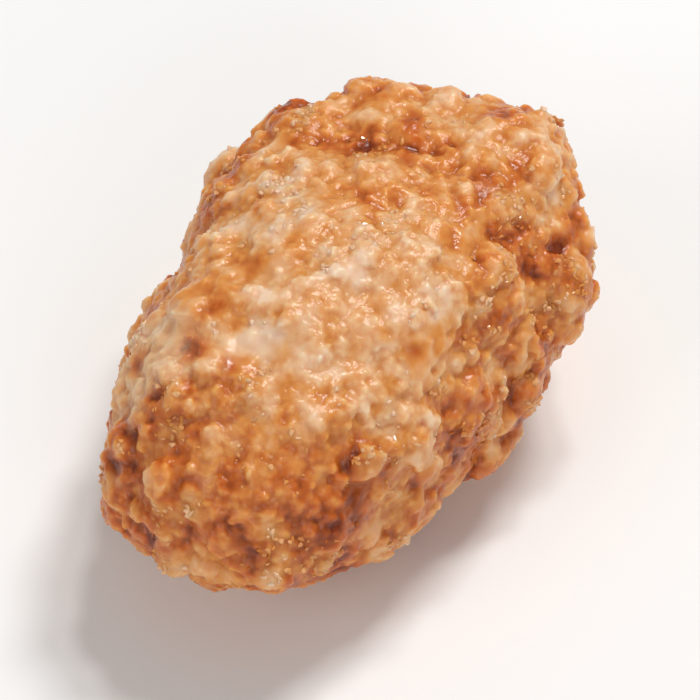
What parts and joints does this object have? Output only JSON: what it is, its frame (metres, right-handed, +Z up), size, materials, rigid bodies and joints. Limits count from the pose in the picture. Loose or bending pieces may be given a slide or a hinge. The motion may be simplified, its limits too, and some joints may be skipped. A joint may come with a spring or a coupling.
{
  "type": "praline peanut",
  "caption": "Egg-shaped roasted peanut in a rough, knobbly crust of caramelised sugar, lying on its side on a small flat spot. A sweet to eat by the handful or to decorate with.",
  "frame": {"origin": "on the surface that the nut lies on, under the middle of its bounding box", "axes": "+X towards the blunt end along the nut's length, +Z up out of the resting surface, +Y across the nut"},
  "size_m": [0.021, 0.0136, 0.0116],
  "materials": {
    "sugar_crust": "rough caramelised sugar, golden on the raised middle and browner towards the ends and in the hollows, with small glossy caramel spots"
  },
  "bodies": {
    "root": {"praline_peanut": "sugar_crust"}
  },
  "joints": []
}
